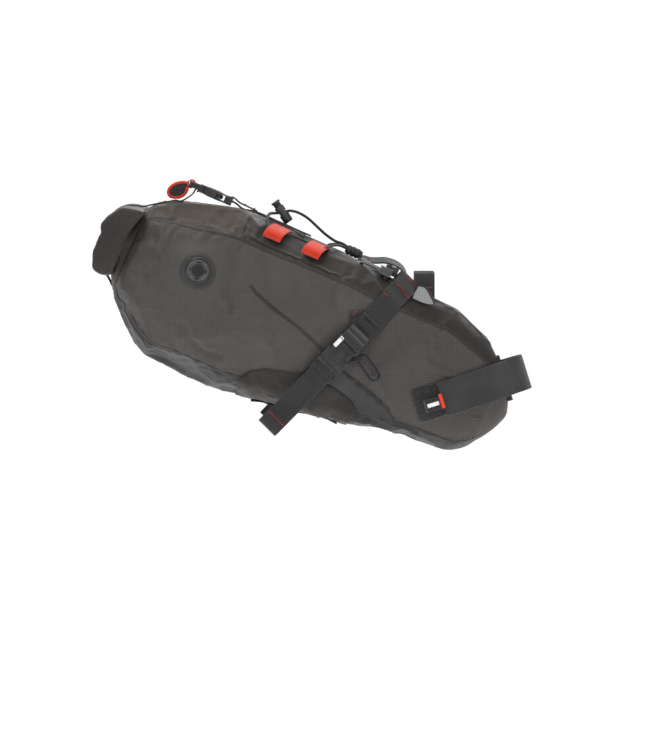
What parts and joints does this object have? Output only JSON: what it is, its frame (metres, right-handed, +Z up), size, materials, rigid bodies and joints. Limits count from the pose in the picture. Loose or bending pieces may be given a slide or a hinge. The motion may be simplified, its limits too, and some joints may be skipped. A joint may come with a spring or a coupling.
{
  "type": "saddle bag",
  "caption": "Roll-top bikepacking saddle bag with welded panels, side straps, cord lacing, air valve and a seatpost strap.",
  "frame": {"origin": "on the seatpost axis, at the middle of the nose strap", "axes": "+X towards the front of the bicycle, +Y to its left, +Z up; the bag drops 24 degrees towards the front and the seatpost leans back 17.3 degrees"},
  "size_m": [0.483, 0.176, 0.2931],
  "materials": {
    "black_plastic": "moulded acetal, fine matt texture",
    "black_webbing": "woven nylon webbing",
    "bright_metal": "satin machined metal",
    "coated_fabric": "smooth coated cloth, warm charcoal",
    "grey_fabric": "light grey coated cloth",
    "hook_and_loop": "hook and loop tape",
    "pad_rubber": "ribbed grip rubber",
    "red_webbing": "woven red-orange webbing",
    "reflective_tape": "silver white reflective tape",
    "reinforced_fabric": "heavier coated cloth without a grid",
    "ripstop_fabric": "welded coated ripstop, charcoal, fine grid",
    "scuff_fabric": "rubber coated scuff cloth, dark brown",
    "seam_tape": "welded seam tape",
    "shock_cord": "braided elastic cord",
    "stiffener_plastic": "flexible sheet stiffener"
  },
  "bodies": {
    "bag": {"side_panel_right": "ripstop_fabric", "side_panel_left": "ripstop_fabric", "rear_top_panel": "coated_fabric", "top_yoke": "reinforced_fabric", "bottom_panel": "reinforced_fabric", "nose_panel": "reinforced_fabric", "mouth_collar": "coated_fabric", "roll_closure": "coated_fabric", "closure_stiffener": "stiffener_plastic", "seam_tapes": "seam_tape", "bottom_stiffener": "stiffener_plastic", "spine_stiffener": "stiffener_plastic", "nose_stiffener": "stiffener_plastic", "post_pad": "pad_rubber", "valve_patch": "coated_fabric", "valve_flange": "black_plastic", "valve_nut": "black_plastic", "valve_diaphragm": "pad_rubber", "belly_patch": "scuff_fabric", "belly_webbing": "black_webbing", "daisy_webbing": "black_webbing", "cord_loops_right": "red_webbing", "cord_loops_left": "red_webbing", "shock_cord_lacing": "shock_cord", "shock_cord_tail": "shock_cord", "cord_lock_body": "black_plastic", "cord_lock_spring": "bright_metal", "cord_end": "black_plastic", "closure_strap": "black_webbing", "top_buckle_female": "black_plastic", "top_anchor_strap": "black_webbing", "side_strap_upper_right": "black_webbing", "side_strap_upper_left": "black_webbing", "side_strap_lower_right": "black_webbing", "side_strap_lower_left": "black_webbing", "side_buckle_female_right": "black_plastic", "side_buckle_female_left": "black_plastic", "reflective_tabs": "reflective_tape", "side_tabs": "black_webbing", "rail_loops": "black_webbing", "wing_gussets": "grey_fabric", "spine_strap": "black_webbing", "spine_bracket": "black_plastic", "pin_bushing": "bright_metal", "nose_strap": "black_webbing", "hook_patch": "hook_and_loop"},
    "strap_flap": {"strap_flap": "black_webbing", "flap_loop_tape": "hook_and_loop", "pull_tab": "reflective_tape"},
    "top_plug": {"top_buckle_male": "black_plastic", "pull_loop": "red_webbing"},
    "side_plug_right": {"side_buckle_male_right": "black_plastic", "side_strap_tail_right": "black_webbing"},
    "side_plug_left": {"side_buckle_male_left": "black_plastic", "side_strap_tail_left": "black_webbing"},
    "cord_plunger": {"cord_lock_plunger": "black_plastic"},
    "valve_cap": {"valve_cap": "black_plastic"},
    "lock_pin": {"locking_pin": "bright_metal"},
    "clip": {"clip_body": "black_plastic"},
    "clip_gate": {"clip_gate": "bright_metal"}
  },
  "joints": [
    {"name": "flap_peel", "type": "hinge", "parent": "bag", "child": "strap_flap", "pos_m": [0.00144, -0.01442, 0.00045], "axis": [-0.2974, 0, 0.9548], "range_deg": [0, 75]},
    {"name": "top_buckle_pull", "type": "slide", "parent": "bag", "child": "top_plug", "axis": [-0.9135, 0, 0.4067], "range_m": [0, 0.022]},
    {"name": "side_buckle_pull_right", "type": "slide", "parent": "bag", "child": "side_plug_right", "axis": [-0.7009, 0, -0.7133], "range_m": [0, 0.022]},
    {"name": "side_buckle_pull_left", "type": "slide", "parent": "bag", "child": "side_plug_left", "axis": [-0.7009, 0, -0.7133], "range_m": [0, 0.022]},
    {"name": "cord_lock_press", "type": "slide", "parent": "bag", "child": "cord_plunger", "axis": [0.5736, 0, -0.8192], "range_m": [0, 0.004], "stiffness_N_per_m": 600},
    {"name": "valve_turn", "type": "hinge", "parent": "bag", "child": "valve_cap", "pos_m": [-0.34007, -0.082, 0.11638], "axis": [0, -1, 0], "range_deg": [0, 90]},
    {"name": "pin_pull", "type": "slide", "parent": "bag", "child": "lock_pin", "axis": [-0.9135, 0, 0.4067], "range_m": [0, 0.012]},
    {"name": "clip_swing", "type": "hinge", "parent": "bag", "child": "clip", "pos_m": [-0.16665, -0.07303, 0.024], "axis": [0, 1, 0], "range_deg": [-20, 12]},
    {"name": "clip_gate_open", "type": "hinge", "parent": "clip", "child": "clip_gate", "pos_m": [-0.15894, -0.07303, 0.0034], "axis": [0, 1, 0], "range_deg": [0, 20], "stiffness_Nm_per_rad": 0.02}
  ]
}
